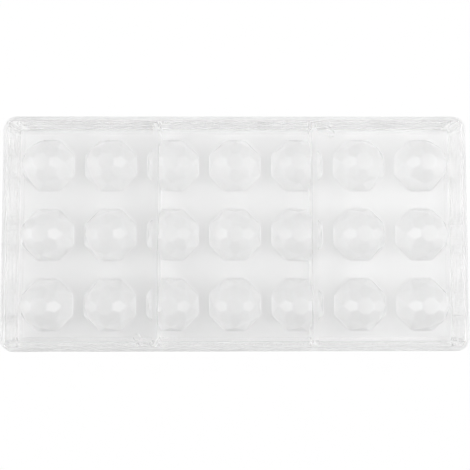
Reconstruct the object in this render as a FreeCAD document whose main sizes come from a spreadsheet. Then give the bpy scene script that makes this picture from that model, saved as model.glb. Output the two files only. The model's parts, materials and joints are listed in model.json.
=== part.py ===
import FreeCAD, Part
import math
import os
import Sketcher
from FreeCAD import Placement, Rotation, Vector

# A chocolate mould, injection moulded as one piece of clear plastic.
# It lies upside down, on its pouring face at z = 0, with the skirt and the backs of the
# cavities standing up from it. X runs along the rows, and Y across them.

NODE = "chocolate_mould"

# Each driving size: its alias, its value in millimetres, degrees or pieces, and what it is.
DRIVING_SIZES = [
    ("overall_length", 275.0, "outside of the skirt, along the rows"),
    ("overall_width", 139.0, "outside of the skirt, across the rows"),
    ("overall_height", 24.0, "pouring face to the skirt's edge"),
    ("corner_radius", 8.0, "outside corners of the skirt"),
    ("corner_step", 5.2, "outside corners' radius, less that of the inside corners"),
    ("plate_thickness", 2.5, "the plate that joins the cavities"),
    ("rim_wall", 2.8, "skirt's wall at its edge"),
    ("skirt_draft", 1.7, "slope of the skirt's inside, in degrees"),
    ("edge_round", 0.8, "round along the skirt's edge and the pouring face"),
    ("foot_round", 0.6, "round where the skirt meets the plate"),
    ("column_count", 7, "cavities along the length"),
    ("row_count", 3, "cavities across the width"),
    ("end_gap", 1.3, "plate between an end cavity's wall and the skirt"),
    ("side_gap", 6.2, "plate between an outer row's walls and the skirt"),
    ("mouth_flats", 29.5, "cavity across its flats, at the pouring face"),
    ("shoulder_radius", 11.8, "cavity axis to the points half way up its side"),
    ("shoulder_depth", 13.2, "pouring face to those points"),
    ("crown_radius", 8.5, "cavity axis to the points between its kites"),
    ("table_flats", 9.0, "flat bottom of the cavity, across its flats"),
    ("cavity_depth", 18.2, "pouring face to the cavity's flat bottom"),
    ("cavity_wall", 1.8, "wall of each cavity"),
    ("rib_thickness", 3.0, "cross rib"),
    ("rib_drop", 2.0, "top of a cross rib below the skirt's edge"),
    ("rib_from_column", 8.8, "middle of a rib past the axes of the column beside it"),
    ("pin_diameter", 4.0, "small pin by each long side"),
    ("pin_height", 3.0, "pin above the plate"),
    ("pin_along", 60.4, "pin from the middle of the length"),
    ("pin_wall_gap", 0.8, "pin from the foot of the skirt"),
]

FACETS = 8
STEP = 360.0 / FACETS

# Sizes worked out from the sheet, written once as expressions.
SKIRT_FOOT = ("(sizes.rim_wall + (sizes.overall_height - sizes.plate_thickness)"
              " * tan(sizes.skirt_draft * 1 deg))")
CAVITY_OUTSIDE = f"(sizes.mouth_flats + 2 * sizes.cavity_wall * cos({STEP / 2} deg))"
COLUMN_PITCH = (f"((sizes.overall_length - 2 * ({SKIRT_FOOT} + sizes.end_gap) - {CAVITY_OUTSIDE})"
                " / (sizes.column_count - 1))")
ROW_PITCH = (f"((sizes.overall_width - 2 * ({SKIRT_FOOT} + sizes.side_gap) - {CAVITY_OUTSIDE})"
             " / (sizes.row_count - 1))")
RIB_PLACE = f"({COLUMN_PITCH} + sizes.rib_from_column)"
PIN_PLACE = (f"(sizes.overall_width / 2 - {SKIRT_FOOT} - sizes.pin_wall_gap"
             " - sizes.pin_diameter / 2)")


def make_sheet(doc):
    sheet = doc.addObject("Spreadsheet::Sheet", "sizes")
    for row, (alias, value, meaning) in enumerate(DRIVING_SIZES, start=1):
        sheet.set(f"A{row}", alias)
        sheet.set(f"B{row}", str(value))
        sheet.setAlias(f"B{row}", alias)
        sheet.set(f"C{row}", meaning)
    doc.recompute()
    return sheet


def number(sheet, expression):
    """The value of an expression on the sheet, as a plain number."""
    result = sheet.evalExpression(expression)
    return float(getattr(result, "Value", result))


def origin_part(body, role):
    return next(part for part in body.Origin.OriginFeatures if part.Role == role)


def add_sketch(body, name, level=None):
    """A sketch on the body's XY plane, raised to a level given as an expression."""
    sketch = body.newObject("Sketcher::SketchObject", name)
    sketch.AttachmentSupport = [(origin_part(body, "XY_Plane"), "")]
    sketch.MapMode = "FlatFace"
    if level:
        sketch.setExpression("AttachmentOffset.Base.z", level)
    return sketch


def size_constraint(sketch, name, expression, constraint):
    index = sketch.addConstraint(constraint)
    sketch.renameConstraint(index, name)
    sketch.setExpression(f"Constraints.{name}", expression)


def draw_rounded_rectangle(sketch, sheet, length, width, radius):
    """A rectangle with round corners about the origin, its sizes given as expressions."""
    half_x = number(sheet, length) / 2
    half_y = number(sheet, width) / 2
    corner = number(sheet, radius)
    in_x = half_x - corner
    in_y = half_y - corner
    sides = [
        (Vector(-in_x, -half_y), Vector(in_x, -half_y)),
        (Vector(half_x, -in_y), Vector(half_x, in_y)),
        (Vector(in_x, half_y), Vector(-in_x, half_y)),
        (Vector(-half_x, in_y), Vector(-half_x, -in_y)),
    ]
    centres = [Vector(in_x, -in_y), Vector(in_x, in_y), Vector(-in_x, in_y), Vector(-in_x, -in_y)]
    lines, arcs = [], []
    for turn, ((start, end), centre) in enumerate(zip(sides, centres)):
        first = math.radians(90 * (turn - 1))
        circle = Part.Circle(centre, Vector(0, 0, 1), corner)
        lines.append(sketch.addGeometry(Part.LineSegment(start, end)))
        arcs.append(sketch.addGeometry(Part.ArcOfCircle(circle, first, first + math.pi / 2)))
    for turn in range(4):
        following = lines[(turn + 1) % 4]
        sketch.addConstraint(Sketcher.Constraint("Tangent", lines[turn], 2, arcs[turn], 1))
        sketch.addConstraint(Sketcher.Constraint("Tangent", arcs[turn], 2, following, 1))
    for line in (lines[0], lines[2]):
        sketch.addConstraint(Sketcher.Constraint("Horizontal", line))
    for line in (lines[1], lines[3]):
        sketch.addConstraint(Sketcher.Constraint("Vertical", line))
    for arc in arcs[1:]:
        sketch.addConstraint(Sketcher.Constraint("Equal", arcs[0], arc))
    sketch.addConstraint(Sketcher.Constraint("Symmetric", arcs[1], 3, arcs[3], 3, -1, 1))
    size_constraint(sketch, "length", length,
                    Sketcher.Constraint("DistanceX", lines[3], 1, lines[1], 1, 2 * half_x))
    size_constraint(sketch, "width", width,
                    Sketcher.Constraint("DistanceY", lines[0], 1, lines[2], 1, 2 * half_y))
    size_constraint(sketch, "corner", radius, Sketcher.Constraint("Radius", arcs[0], corner))


def draw_strip(sketch, sheet, place, thickness, length):
    """A strip along Y, centred on y = 0, with its middle at x = place."""
    middle = number(sheet, place)
    half_t = number(sheet, thickness) / 2
    half_l = number(sheet, length) / 2
    corners = [Vector(middle - half_t, -half_l), Vector(middle + half_t, -half_l),
               Vector(middle + half_t, half_l), Vector(middle - half_t, half_l)]
    lines = [sketch.addGeometry(Part.LineSegment(corners[k], corners[(k + 1) % 4]))
             for k in range(4)]
    for k in range(4):
        sketch.addConstraint(Sketcher.Constraint("Coincident", lines[k], 2, lines[(k + 1) % 4], 1))
    for k in (0, 2):
        sketch.addConstraint(Sketcher.Constraint("Horizontal", lines[k]))
    sketch.addConstraint(Sketcher.Constraint("Vertical", lines[3]))
    sketch.addConstraint(Sketcher.Constraint("Symmetric", lines[1], 1, lines[1], 2, -1))
    size_constraint(sketch, "thickness", thickness,
                    Sketcher.Constraint("DistanceX", lines[0], 1, lines[0], 2, 2 * half_t))
    size_constraint(sketch, "length", length,
                    Sketcher.Constraint("DistanceY", lines[1], 1, lines[1], 2, 2 * half_l))
    size_constraint(sketch, "near_side", f"{place} - {thickness} / 2",
                    Sketcher.Constraint("DistanceX", -1, 1, lines[0], 1, middle - half_t))


def draw_circle(sketch, sheet, across, up, diameter):
    centre = Vector(number(sheet, across), number(sheet, up))
    radius = number(sheet, diameter) / 2
    circle = sketch.addGeometry(Part.Circle(centre, Vector(0, 0, 1), radius))
    size_constraint(sketch, "across", across,
                    Sketcher.Constraint("DistanceX", -1, 1, circle, 3, centre.x))
    size_constraint(sketch, "up", up,
                    Sketcher.Constraint("DistanceY", -1, 1, circle, 3, centre.y))
    size_constraint(sketch, "diameter", diameter,
                    Sketcher.Constraint("Diameter", circle, 2 * radius))


def add_pad(body, sketch, name, height):
    pad = body.newObject("PartDesign::Pad", name)
    pad.Profile = sketch
    pad.setExpression("Length", height)
    sketch.Visibility = False
    return pad


def edges_at_level(shape, level, tolerance=0.01):
    """Names of the edges that lie at one height."""
    names = []
    for index, edge in enumerate(shape.Edges, start=1):
        box = edge.BoundBox
        if abs(box.ZMin - level) < tolerance and abs(box.ZMax - level) < tolerance:
            names.append(f"Edge{index}")
    return names


def add_round(body, base, name, edges, radius):
    fillet = body.newObject("PartDesign::Fillet", name)
    fillet.Base = (base, edges)
    fillet.setExpression("Radius", radius)
    return fillet


def make_tray(doc, sheet):
    """The plate, the skirt round it, the two cross ribs and the two small pins."""
    body = doc.addObject("PartDesign::Body", "tray")

    outline = add_sketch(body, "outline")
    draw_rounded_rectangle(outline, sheet, "sizes.overall_length", "sizes.overall_width",
                           "sizes.corner_radius")
    block = add_pad(body, outline, "block", "sizes.overall_height")

    opening = add_sketch(body, "underside_opening", "sizes.overall_height")
    draw_rounded_rectangle(opening, sheet, "sizes.overall_length - 2 * sizes.rim_wall",
                           "sizes.overall_width - 2 * sizes.rim_wall",
                           "sizes.corner_radius - sizes.corner_step")
    doc.recompute()
    full_volume = block.Shape.Volume
    hollow = body.newObject("PartDesign::Pocket", "underside_hollow")
    hollow.Profile = opening
    hollow.setExpression("Length", "sizes.overall_height - sizes.plate_thickness")
    hollow.setExpression("TaperAngle", "-sizes.skirt_draft")
    opening.Visibility = False
    doc.recompute()
    if hollow.Shape.Volume > full_volume / 2:
        raise RuntimeError("the underside hollow was not cut")

    foot = edges_at_level(hollow.Shape, number(sheet, "sizes.plate_thickness"))
    foot_round = add_round(body, hollow, "foot_round", foot, "sizes.foot_round")
    doc.recompute()
    rims = edges_at_level(foot_round.Shape, number(sheet, "sizes.overall_height"))
    rims += edges_at_level(foot_round.Shape, 0)
    add_round(body, foot_round, "edge_round", rims, "sizes.edge_round")

    rib_line = add_sketch(body, "rib_line")
    draw_strip(rib_line, sheet, RIB_PLACE, "sizes.rib_thickness",
               "sizes.overall_width - sizes.rim_wall")
    rib = add_pad(body, rib_line, "rib", "sizes.overall_height - sizes.rib_drop")
    ribs = body.newObject("PartDesign::Mirrored", "ribs")
    ribs.Originals = [rib]
    ribs.MirrorPlane = (origin_part(body, "YZ_Plane"), [""])
    body.Tip = ribs

    pin_circle = add_sketch(body, "pin_circle")
    draw_circle(pin_circle, sheet, "sizes.pin_along", PIN_PLACE, "sizes.pin_diameter")
    pin = add_pad(body, pin_circle, "pin", "sizes.plate_thickness + sizes.pin_height")
    pins = body.newObject("PartDesign::PolarPattern", "pins")
    pins.Originals = [pin]
    pins.Axis = (origin_part(body, "Z_Axis"), [""])
    pins.Angle = 360
    pins.Occurrences = 2
    body.Tip = pins
    doc.recompute()
    return body


def ring(radius, height, first_angle):
    """Eight points round the Z axis."""
    points = []
    for k in range(FACETS):
        angle = math.radians(first_angle + k * STEP)
        points.append(Vector(radius * math.cos(angle), radius * math.sin(angle), height))
    return points


def corner_radius_of(flats):
    return flats / 2 / math.cos(math.radians(STEP / 2))


def pushed_out(radius, height, wall):
    """A point of the cavity's side, moved out through the wall, away from the mouth's centre."""
    distance = math.hypot(radius, height)
    return radius * (distance + wall) / distance, height * (distance + wall) / distance


def faceted_dome(sheet, wall):
    """A half ball of flat facets: eight triangles stand on the mouth's sides, eight hang
    between them, eight lie over those, and eight kites run up to the flat table.
    With no wall it is the cavity, and with the wall it is the outside of the cavity."""
    half = STEP / 2
    mouth_at = pushed_out(corner_radius_of(number(sheet, "sizes.mouth_flats")), 0, wall)
    shoulder_at = pushed_out(number(sheet, "sizes.shoulder_radius"),
                             number(sheet, "sizes.shoulder_depth"), wall)
    table_at = pushed_out(corner_radius_of(number(sheet, "sizes.table_flats")),
                          number(sheet, "sizes.cavity_depth"), wall)
    crown_at = number(sheet, "sizes.crown_radius") + wall / 2

    # The crown points lie in the plane of the kite: through a side of the table and a shoulder.
    table_side = table_at[0] * math.cos(math.radians(half))
    crown_side = crown_at * math.cos(math.radians(half))
    slope = (table_at[1] - shoulder_at[1]) / (shoulder_at[0] - table_side)
    crown_height = table_at[1] - slope * (crown_side - table_side)

    mouth = ring(*mouth_at, half)
    shoulder = ring(*shoulder_at, 0)
    crown = ring(crown_at, crown_height, half)
    table = ring(*table_at, half)

    outlines = [mouth[::-1], table]
    for k in range(FACETS):
        before, after = k - 1, (k + 1) % FACETS
        outlines.append([mouth[before], mouth[k], shoulder[k]])
        outlines.append([shoulder[k], mouth[k], shoulder[after]])
        outlines.append([shoulder[k], shoulder[after], crown[k]])
        outlines.append([shoulder[k], crown[k], table[k], table[before], crown[before]])
    faces = [Part.Face(Part.makePolygon(points + points[:1])) for points in outlines]
    return Part.Solid(Part.Shell(faces))


def cavity_places(sheet):
    columns = int(number(sheet, "sizes.column_count"))
    rows = int(number(sheet, "sizes.row_count"))
    column_pitch = number(sheet, COLUMN_PITCH)
    row_pitch = number(sheet, ROW_PITCH)
    return [Vector((column - (columns - 1) / 2) * column_pitch,
                   (row - (rows - 1) / 2) * row_pitch, 0)
            for row in range(rows) for column in range(columns)]


def make_dome_set(doc, sheet, name, wall):
    """One dome at each cavity's place."""
    dome = faceted_dome(sheet, wall)
    copies = []
    for place in cavity_places(sheet):
        copy = dome.copy()
        copy.translate(place)
        copies.append(copy)
    domes = doc.addObject("Part::Feature", name)
    domes.Shape = copies[0].multiFuse(copies[1:]) if len(copies) > 1 else copies[0]
    domes.Placement = Placement(Vector(0, 0, 0), Rotation())
    return domes


def make_mould(doc, sheet):
    tray = make_tray(doc, sheet)
    backs = make_dome_set(doc, sheet, "cavity_backs", number(sheet, "sizes.cavity_wall"))
    cavities = make_dome_set(doc, sheet, "cavities", 0)

    solid = doc.addObject("Part::MultiFuse", "tray_with_backs")
    solid.Shapes = [tray, backs]
    mould = doc.addObject("Part::Cut", "mould")
    mould.Base = solid
    mould.Tool = cavities
    mould.Refine = True
    mould.Label = NODE
    mould.Placement = Placement(Vector(0, 0, 0), Rotation())
    doc.recompute()
    return mould


def check(doc, mould):
    for item in doc.Objects:
        if "Invalid" in item.State or "Error" in item.State:
            raise RuntimeError(f"{item.Name} failed: {item.State}")
    shape = mould.Shape
    if shape.isNull() or not shape.isValid() or len(shape.Solids) != 1:
        raise RuntimeError(f"{mould.Label} is not one valid solid")


def main():
    doc = FreeCAD.newDocument("mould")
    sheet = make_sheet(doc)
    mould = make_mould(doc, sheet)
    check(doc, mould)
    os.makedirs("parts", exist_ok=True)
    mould.Shape.exportStep(f"parts/{mould.Label}.step")
    box = mould.Shape.optimalBoundingBox(False)
    print(f"{mould.Label}: {box.XLength:.2f} x {box.YLength:.2f} x {box.ZLength:.2f} mm,"
          f" {mould.Shape.Volume / 1000:.1f} cm3, {len(mould.Shape.Faces)} faces")
    print(f"pitch {number(sheet, COLUMN_PITCH):.2f} x {number(sheet, ROW_PITCH):.2f} mm")


main()
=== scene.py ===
import json
import math

import bmesh
import bpy
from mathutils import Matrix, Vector

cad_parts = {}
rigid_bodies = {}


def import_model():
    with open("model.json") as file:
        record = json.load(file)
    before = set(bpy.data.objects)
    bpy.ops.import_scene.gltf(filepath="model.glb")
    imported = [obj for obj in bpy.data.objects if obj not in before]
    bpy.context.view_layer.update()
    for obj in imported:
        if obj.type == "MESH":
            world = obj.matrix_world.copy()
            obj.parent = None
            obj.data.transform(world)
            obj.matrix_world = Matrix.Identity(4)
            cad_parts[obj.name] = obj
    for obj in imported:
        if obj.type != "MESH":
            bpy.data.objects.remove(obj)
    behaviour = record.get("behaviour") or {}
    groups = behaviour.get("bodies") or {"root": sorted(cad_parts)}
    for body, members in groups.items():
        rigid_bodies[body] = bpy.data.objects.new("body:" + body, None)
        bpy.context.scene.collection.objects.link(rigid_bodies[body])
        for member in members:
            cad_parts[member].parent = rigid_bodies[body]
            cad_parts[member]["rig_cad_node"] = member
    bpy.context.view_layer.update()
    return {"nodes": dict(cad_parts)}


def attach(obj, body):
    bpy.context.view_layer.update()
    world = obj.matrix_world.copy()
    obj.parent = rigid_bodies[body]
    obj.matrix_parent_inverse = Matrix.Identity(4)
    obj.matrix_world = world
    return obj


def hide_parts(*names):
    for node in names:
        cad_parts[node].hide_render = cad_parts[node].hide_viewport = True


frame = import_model()
mm = 0.001


# camera: almost straight down on the open underside, a little from the front and the left
cameraView = {
    "place": Vector((-2.75, -20.97, 393.5)) * mm,
    "turnDegrees": (3.05, -0.404, -0.08),
    "lens": 48.07,
    "sensor": 36.0,
    "nearest": 0.01,
    "furthest": 50,
}


def addCamera(view):
    bpy.ops.object.camera_add(location=view["place"])
    camera = bpy.context.active_object
    camera.name = "photoCamera"
    camera.rotation_euler = [math.radians(angle) for angle in view["turnDegrees"]]
    camera.data.lens = view["lens"]
    camera.data.sensor_width = view["sensor"]
    camera.data.clip_start = view["nearest"]
    camera.data.clip_end = view["furthest"]
    bpy.context.scene.camera = camera


addCamera(cameraView)
print("camera placed")


# the moulding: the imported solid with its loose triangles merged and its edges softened
mouldShape = {
    "node": "chocolate_mould",
    "mergeWithin": 0.01 * mm,
    "flatWithinDegrees": 0.5,     # triangles this flat to each other become one facet
    "outerEdge": {"width": 0.7 * mm, "segments": 4},
    "innerEdge": {"width": 0.4 * mm, "segments": 2},
    "edgeProfile": 0.5,
    "roomInWidths": 2,            # an edge with shorter neighbours stays sharp
    "leastAngleDegrees": 12,      # flatter edges belong to the skirt's own rounds
    "smoothBelowDegrees": 35,
    "downwardTilt": -0.02,        # a face whose normal dips below this is on the cavities' side
}


def selectOnly(thing):
    bpy.ops.object.select_all(action="DESELECT")
    thing.select_set(True)
    bpy.context.view_layer.objects.active = thing


def copyOfNode(node, name):
    selectOnly(node)
    bpy.ops.object.duplicate()
    piece = bpy.context.active_object
    del piece["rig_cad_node"]
    piece.name = name
    piece.data.name = name
    return piece


def selectEdges(piece, outer, shape, width):
    # the edges on one side of the moulding that turn enough and have room for the softening
    mesh = bmesh.from_edit_mesh(piece.data)
    for face in mesh.faces:
        face.select = False
    for edge in mesh.edges:
        edge.select = False
    count = 0
    for edge in mesh.edges:
        around = [other.calc_length() for vert in edge.verts for other in vert.link_edges]
        hasRoom = min(around) > shape["roomInWidths"] * width
        turns = math.degrees(edge.calc_face_angle(0)) > shape["leastAngleDegrees"]
        above = all(face.normal.z > shape["downwardTilt"] for face in edge.link_faces)
        if turns and hasRoom and above == outer:
            edge.select = True
            count += 1
    bmesh.update_edit_mesh(piece.data)
    return count


def makeMould(shape):
    piece = copyOfNode(frame["nodes"][shape["node"]], "clear_mould")
    bpy.ops.object.mode_set(mode="EDIT")
    bpy.ops.mesh.customdata_custom_splitnormals_clear()
    bpy.ops.mesh.select_all(action="SELECT")
    bpy.ops.mesh.remove_doubles(threshold=shape["mergeWithin"])
    bpy.ops.mesh.dissolve_limited(angle_limit=math.radians(shape["flatWithinDegrees"]))
    bpy.ops.mesh.select_mode(type="EDGE")
    for name, outer in (("outerEdge", True), ("innerEdge", False)):
        soft = shape[name]
        count = selectEdges(piece, outer, shape, soft["width"])
        bpy.ops.mesh.bevel(offset=soft["width"], segments=soft["segments"], profile=shape["edgeProfile"],
                           clamp_overlap=False, affect="EDGES")
        print(name, "softened on", count, "edges")
    bpy.ops.object.mode_set(mode="OBJECT")
    selectOnly(piece)
    bpy.ops.object.shade_smooth_by_angle(angle=math.radians(shape["smoothBelowDegrees"]))
    weighted = piece.modifiers.new("evenNormals", "WEIGHTED_NORMAL")
    weighted.keep_sharp = True
    bpy.ops.object.modifier_apply(modifier=weighted.name)
    return piece


mould = makeMould(mouldShape)
print("mould made,", len(mould.data.polygons), "faces")


# small helpers for nodes: a value may be a number or another node's socket
def feed(tree, value, socket):
    if isinstance(value, bpy.types.NodeSocket):
        tree.links.new(value, socket)
    else:
        socket.default_value = value


def mathNode(tree, operation, first, second=0, third=0):
    node = tree.nodes.new("ShaderNodeMath")
    node.operation = operation
    for value, socket in zip((first, second, third), node.inputs):
        feed(tree, value, socket)
    return node.outputs[0]


def keepBetween(tree, value, least, most):
    return mathNode(tree, "MINIMUM", mathNode(tree, "MAXIMUM", value, least), most)


def smoothRise(tree, value, start, end, height):
    node = tree.nodes.new("ShaderNodeMapRange")
    node.interpolation_type = "SMOOTHSTEP"
    feed(tree, value, node.inputs["Value"])
    feed(tree, start, node.inputs["From Min"])
    feed(tree, end, node.inputs["From Max"])
    feed(tree, height, node.inputs["To Max"])
    return node.outputs[0]


def axesOf(tree, place):
    node = tree.nodes.new("ShaderNodeSeparateXYZ")
    tree.links.new(place, node.inputs[0])
    return node.outputs


def noiseNode(tree, place, scale, detail):
    node = tree.nodes.new("ShaderNodeTexNoise")
    node.inputs["Detail"].default_value = detail
    tree.links.new(place, node.inputs["Vector"])
    feed(tree, scale, node.inputs["Scale"])
    return node.outputs["Fac"]


def newGroup(name, inputs, outputs):
    group = bpy.data.node_groups.new(name, "ShaderNodeTree")
    for label in inputs:
        kind = "NodeSocketVector" if label == "Place" else "NodeSocketFloat"
        group.interface.new_socket(label, in_out="INPUT", socket_type=kind)
    for label in outputs:
        group.interface.new_socket(label, in_out="OUTPUT", socket_type="NodeSocketFloat")
    given = group.nodes.new("NodeGroupInput")
    result = group.nodes.new("NodeGroupOutput")
    return group, given.outputs, result.inputs


def placeGroup(tree, group, place, values):
    node = tree.nodes.new("ShaderNodeGroup")
    node.node_tree = group
    tree.links.new(place, node.inputs["Place"])
    for label, value in values.items():
        node.inputs[label].default_value = value
    return node.outputs[0]


# waves and wear: how they are drawn, the same in every material that uses them
surfacePattern = {
    "waveDetail": 1,
    "smudgeDetail": 2,
    "smudgeFrom": 0.4,
    "smudgeTo": 0.7,
    "scratchSharpness": 12,
    "scratchTurnsDegrees": (24, -61),
}


def wavesGroup(pattern):
    # height of the shallow waves that a thick moulding gets as it cools
    group, given, result = newGroup("mouldedWaves", ("Place", "Length"), ("Height",))
    scale = mathNode(group, "DIVIDE", 1, given["Length"])
    group.links.new(noiseNode(group, given["Place"], scale, pattern["waveDetail"]), result["Height"])
    return group


def scratchLayer(group, given, turnDegrees, sharpness):
    # thin ridges of a noise that is stretched along one direction
    turned = group.nodes.new("ShaderNodeMapping")
    turned.inputs["Rotation"].default_value = (0, 0, math.radians(turnDegrees))
    group.links.new(given["Place"], turned.inputs["Vector"])
    perLength = mathNode(group, "DIVIDE", 1, given["Scratch Length"])
    perWidth = mathNode(group, "DIVIDE", 1, given["Scratch Width"])
    stretch = group.nodes.new("ShaderNodeCombineXYZ")
    for value, socket in zip((perLength, perWidth, perLength), stretch.inputs):
        feed(group, value, socket)
    place = group.nodes.new("ShaderNodeVectorMath")
    place.operation = "MULTIPLY"
    group.links.new(turned.outputs[0], place.inputs[0])
    group.links.new(stretch.outputs[0], place.inputs[1])
    ridges = noiseNode(group, place.outputs[0], scale=1, detail=0)
    over = mathNode(group, "SUBTRACT", ridges, given["Scratch Rarity"])
    return keepBetween(group, mathNode(group, "MULTIPLY", over, sharpness), 0, 1)


def wearGroup(pattern):
    # roughness: polished on the skirt's walls, satin in the middle, and scuffed where it is worn
    labels = ("Place", "Polished", "Satin", "Scuffed", "Middle X", "Middle Y", "Middle Fade",
              "Edge Low", "Edge High", "Edge Share", "Smudge Length", "Smudge Share",
              "Scratch Length", "Scratch Width", "Scratch Rarity", "Scratch Share")
    group, given, result = newGroup("handlingWear", labels, ("Roughness",))
    axes = axesOf(group, given["Place"])
    pastX = mathNode(group, "SUBTRACT", mathNode(group, "ABSOLUTE", axes["X"]), given["Middle X"])
    pastY = mathNode(group, "SUBTRACT", mathNode(group, "ABSOLUTE", axes["Y"]), given["Middle Y"])
    skirt = mathNode(group, "DIVIDE", mathNode(group, "MAXIMUM", pastX, pastY), given["Middle Fade"])
    skirt = keepBetween(group, skirt, 0, 1)
    span = mathNode(group, "SUBTRACT", given["Polished"], given["Satin"])
    clean = mathNode(group, "MULTIPLY_ADD", skirt, span, given["Satin"])
    edge = smoothRise(group, axes["Z"], given["Edge Low"], given["Edge High"], given["Edge Share"])
    scale = mathNode(group, "DIVIDE", 1, given["Smudge Length"])
    smudge = noiseNode(group, given["Place"], scale, pattern["smudgeDetail"])
    smudge = smoothRise(group, smudge, pattern["smudgeFrom"], pattern["smudgeTo"], 1)
    smudge = mathNode(group, "MULTIPLY", smudge, given["Smudge Share"])
    worn = mathNode(group, "MAXIMUM", smudge, edge)
    for turnDegrees in pattern["scratchTurnsDegrees"]:
        scratch = scratchLayer(group, given, turnDegrees, pattern["scratchSharpness"])
        scratch = mathNode(group, "MULTIPLY", scratch, given["Scratch Share"])
        worn = mathNode(group, "MAXIMUM", worn, scratch)
    span = mathNode(group, "SUBTRACT", given["Scuffed"], clean)
    group.links.new(mathNode(group, "MULTIPLY_ADD", worn, span, clean), result["Roughness"])
    return group


# clear plastic: polished on the skirt's walls and satin elsewhere, with the faint waves of moulding,
# smudges and hair scratches from use, and duller on the skirt's edge, on which the mould stands
plasticFinish = {
    "colour": (0.982, 0.982, 0.982, 1),
    "ior": 1.58,
    "waves": {"length": 16 * mm, "depth": 0.0015 * mm},
    "polished": 0.06,             # the skirt's walls
    "satin": 0.285,               # the backs of the cavities, the ribs and the plate
    "scuffed": 0.36,
    "middle": {"alongX": 131 * mm, "alongY": 63 * mm, "fade": 1.5 * mm},
    "edge": {"low": 22.6 * mm, "high": 23.9 * mm, "share": 0.8},
    "smudges": {"length": 22 * mm, "share": 0.25},
    "scratches": {"length": 9 * mm, "width": 0.25 * mm, "share": 0.5, "rarity": 0.68},
}


def makeClearPlastic(finish):
    material = bpy.data.materials.new("clearPlastic")
    material.use_nodes = True
    tree = material.node_tree
    shader = tree.nodes["Principled BSDF"]
    shader.inputs["Base Color"].default_value = finish["colour"]
    shader.inputs["IOR"].default_value = finish["ior"]
    shader.inputs["Transmission Weight"].default_value = 1
    place = tree.nodes.new("ShaderNodeTexCoord").outputs["Object"]
    middle, edge = finish["middle"], finish["edge"]
    smudges, scratches, waves = finish["smudges"], finish["scratches"], finish["waves"]
    roughness = placeGroup(tree, wearGroup(surfacePattern), place, {
        "Polished": finish["polished"],
        "Satin": finish["satin"],
        "Scuffed": finish["scuffed"],
        "Middle X": middle["alongX"],
        "Middle Y": middle["alongY"],
        "Middle Fade": middle["fade"],
        "Edge Low": edge["low"],
        "Edge High": edge["high"],
        "Edge Share": edge["share"],
        "Smudge Length": smudges["length"],
        "Smudge Share": smudges["share"],
        "Scratch Length": scratches["length"],
        "Scratch Width": scratches["width"],
        "Scratch Rarity": scratches["rarity"],
        "Scratch Share": scratches["share"],
    })
    tree.links.new(roughness, shader.inputs["Roughness"])
    bump = tree.nodes.new("ShaderNodeBump")
    bump.inputs["Strength"].default_value = 1
    bump.inputs["Distance"].default_value = waves["depth"]
    height = placeGroup(tree, wavesGroup(surfacePattern), place, {"Length": waves["length"]})
    tree.links.new(height, bump.inputs["Height"])
    tree.links.new(bump.outputs["Normal"], shader.inputs["Normal"])
    return material


mould.data.materials.clear()
mould.data.materials.append(makeClearPlastic(plasticFinish))
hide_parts("chocolate_mould")
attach(mould, "root")
print("clear plastic laid on")


# white table: its glow is most of what the camera sees, and a small part of what the plastic shows,
# where it is painted lighter to the right and the back as if lit from there; the rest is lit, so it
# keeps the shadow
tableTop = {
    "below": 0.2 * mm,
    "size": 8.0,
    "colour": (0.95, 0.95, 0.95, 1),
    "roughness": 0.9,
    "glowShareToCamera": 0.85,
    "glowToCamera": 1.03,         # with its share and the lit rest this comes to plain white
    "glowShareInPlastic": 0.12,
    "glowInPlastic": 1.04,
    "paintedLightSlope": (1.2, 4.6),      # painted light: change of that glow, per metre to the right and to the back
    "glowLeast": 0.65,
    "glowMost": 1.4,
}


def forCamera(tree, path, toCamera, toOthers):
    # one number for what the camera sees itself, another for all else
    node = tree.nodes.new("ShaderNodeMix")
    node.data_type = "FLOAT"
    tree.links.new(path["Is Camera Ray"], node.inputs["Factor"])
    feed(tree, toOthers, node.inputs["A"])
    feed(tree, toCamera, node.inputs["B"])
    return node.outputs[0]


def addTable(table):
    bpy.ops.mesh.primitive_plane_add(size=table["size"], location=(0, 0, -table["below"]))
    plane = bpy.context.active_object
    plane.name = "tableTop"
    material = bpy.data.materials.new("whiteTable")
    material.use_nodes = True
    tree = material.node_tree
    shader = tree.nodes["Principled BSDF"]
    shader.inputs["Base Color"].default_value = table["colour"]
    shader.inputs["Roughness"].default_value = table["roughness"]
    shader.inputs["Specular IOR Level"].default_value = 0
    axes = axesOf(tree, tree.nodes.new("ShaderNodeTexCoord").outputs["Object"])
    path = tree.nodes.new("ShaderNodeLightPath").outputs
    # painted light: the glow that the plastic shows rises to the right and to the back, in place of
    # light from the back right
    right, back = table["paintedLightSlope"]
    light = mathNode(tree, "MULTIPLY_ADD", axes["X"], right, table["glowInPlastic"])
    light = mathNode(tree, "MULTIPLY_ADD", axes["Y"], back, light)
    light = keepBetween(tree, light, table["glowLeast"], table["glowMost"])
    glow = tree.nodes.new("ShaderNodeEmission")
    tree.links.new(forCamera(tree, path, table["glowToCamera"], light), glow.inputs["Strength"])
    inPlastic = mathNode(tree, "MAXIMUM", path["Is Glossy Ray"], path["Is Transmission Ray"])
    share = mathNode(tree, "MULTIPLY", inPlastic, table["glowShareInPlastic"])
    mix = tree.nodes.new("ShaderNodeMixShader")
    tree.links.new(forCamera(tree, path, table["glowShareToCamera"], share), mix.inputs[0])
    tree.links.new(shader.outputs[0], mix.inputs[1])
    tree.links.new(glow.outputs[0], mix.inputs[2])
    tree.links.new(mix.outputs[0], tree.nodes["Material Output"].inputs["Surface"])
    plane.data.materials.append(material)


addTable(tableTop)
print("table placed")


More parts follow.
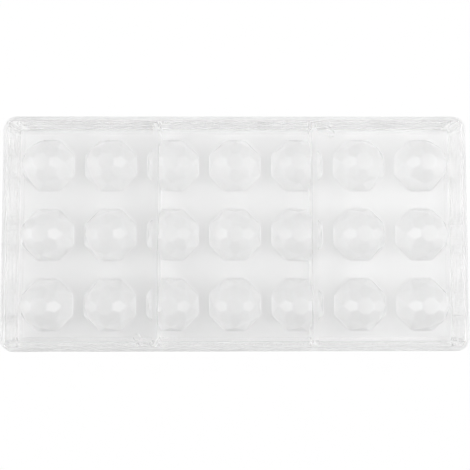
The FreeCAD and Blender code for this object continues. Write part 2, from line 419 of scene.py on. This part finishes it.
# pale tent round the table: broad soft lamps high behind its two sides, a small bright patch below
# each and one more near the top; darker straight above, where the camera is, and low down
softTent = {
    "even": 0.57,
    "morePerBack": 0.3,           # change from the middle to the very back
    "above": {"from": 0.93, "to": 0.985, "more": -0.12},
    "low": {"from": 0.5, "to": 0.7, "more": -0.18},    # darker below, side lamps above
    "sides": {"from": 0.45, "to": 0.65, "more": 1.65},
    "patches": (
        {"towards": (0.90, -0.17, 0.42), "from": 0.90, "to": 0.98, "more": 1.2},
        {"towards": (-0.90, -0.17, 0.42), "from": 0.90, "to": 0.98, "more": 1.2},
        {"towards": (0.33, -0.06, 0.94), "from": 0.955, "to": 0.995, "more": 1.2},
    ),
}


def addTent(tent):
    world = bpy.data.worlds.new("softTent")
    bpy.context.scene.world = world
    world.use_nodes = True
    tree = world.node_tree
    towards = tree.nodes.new("ShaderNodeTexCoord").outputs["Generated"]
    sideways, back, up = axesOf(tree, towards)
    above, low, sides = tent["above"], tent["low"], tent["sides"]
    light = mathNode(tree, "MULTIPLY_ADD", back, tent["morePerBack"], tent["even"])
    light = mathNode(tree, "ADD", light, smoothRise(tree, up, above["from"], above["to"], above["more"]))
    light = mathNode(tree, "ADD", light, smoothRise(tree, up, low["to"], low["from"], low["more"]))
    sideways = mathNode(tree, "ABSOLUTE", sideways)
    share = smoothRise(tree, sideways, sides["from"], sides["to"], sides["more"])
    high = smoothRise(tree, up, low["from"], low["to"], 1)
    light = mathNode(tree, "MULTIPLY_ADD", share, high, light)
    for patch in tent["patches"]:
        nearness = tree.nodes.new("ShaderNodeVectorMath")
        nearness.operation = "DOT_PRODUCT"
        tree.links.new(towards, nearness.inputs[0])
        nearness.inputs[1].default_value = Vector(patch["towards"]).normalized()
        lit = smoothRise(tree, nearness.outputs["Value"], patch["from"], patch["to"], patch["more"])
        light = mathNode(tree, "ADD", light, lit)
    # the camera itself sees plain white beyond the table
    path = tree.nodes.new("ShaderNodeLightPath").outputs
    background = tree.nodes["Background"]
    background.inputs["Color"].default_value = (1, 1, 1, 1)
    tree.links.new(forCamera(tree, path, 1, light), background.inputs["Strength"])


addTent(softTent)
print("tent placed")


# light has to get through many walls of clear plastic, unblurred
lightPaths = {
    "max_bounces": 128,
    "glossy_bounces": 128,
    "transmission_bounces": 128,
    "diffuse_bounces": 4,
    "blur_glossy": 0,
}
for setting, value in lightPaths.items():
    setattr(bpy.context.scene.cycles, setting, value)
bpy.context.scene.view_settings.view_transform = "Standard"
